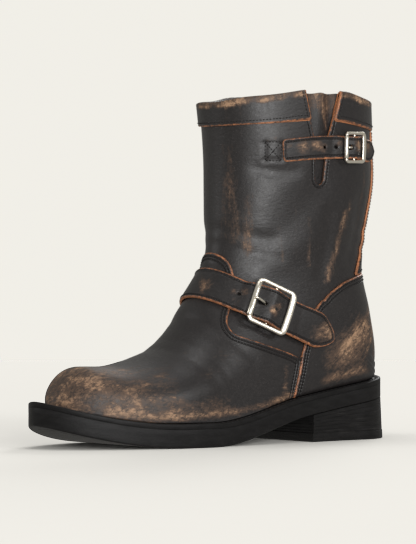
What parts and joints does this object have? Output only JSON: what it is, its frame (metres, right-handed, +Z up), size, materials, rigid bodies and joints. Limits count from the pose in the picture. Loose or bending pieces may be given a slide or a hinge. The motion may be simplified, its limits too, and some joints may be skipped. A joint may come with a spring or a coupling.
{
  "type": "engineer boot",
  "caption": "Low pull-on leather boot for the left foot, with a buckled strap over the instep, a small buckled strap at the collar, a side slit and a block heel.",
  "frame": {"origin": "centre of the boot's footprint, on the floor that it stands on", "axes": "Z up; Y from toe to heel, so the toe points along -Y; X to the boot's lateral side, where the buckles are"},
  "size_m": [0.1046, 0.2884, 0.2429],
  "materials": {
    "outsole": "black, satin, worn",
    "welt": "black, satin",
    "heel": "black, fine level lines",
    "top_lift": "black, satin",
    "insole": "natural, matt",
    "upper": "black over brown, worn, satin",
    "vamp": "black over brown, rubbed at the toe",
    "counter": "black over brown, scuffed at the heel",
    "back_panel": "black over brown, satin",
    "cuff": "black over brown, edge rubbed",
    "gusset": "brown, satin",
    "instep_strap": "black over brown, raw edge",
    "instep_chape": "black over brown",
    "instep_buckle": "polished, warm",
    "instep_roller": "polished, warm",
    "instep_prong": "polished, warm",
    "top_strap": "black over brown, raw edge",
    "top_chape": "black over brown",
    "top_buckle": "polished, warm",
    "top_roller": "polished, warm",
    "top_prong": "polished, warm"
  },
  "bodies": {
    "root": {"outsole": "outsole", "welt": "welt", "heel": "heel", "top_lift": "top_lift", "insole": "insole", "upper": "upper", "vamp": "vamp", "counter": "counter", "back_panel": "back_panel", "cuff": "cuff", "gusset": "gusset", "instep_strap": "instep_strap", "instep_chape": "instep_chape", "instep_buckle": "instep_buckle", "instep_roller": "instep_roller", "instep_prong": "instep_prong", "top_strap": "top_strap", "top_chape": "top_chape", "top_buckle": "top_buckle", "top_roller": "top_roller", "top_prong": "top_prong"}
  },
  "joints": []
}
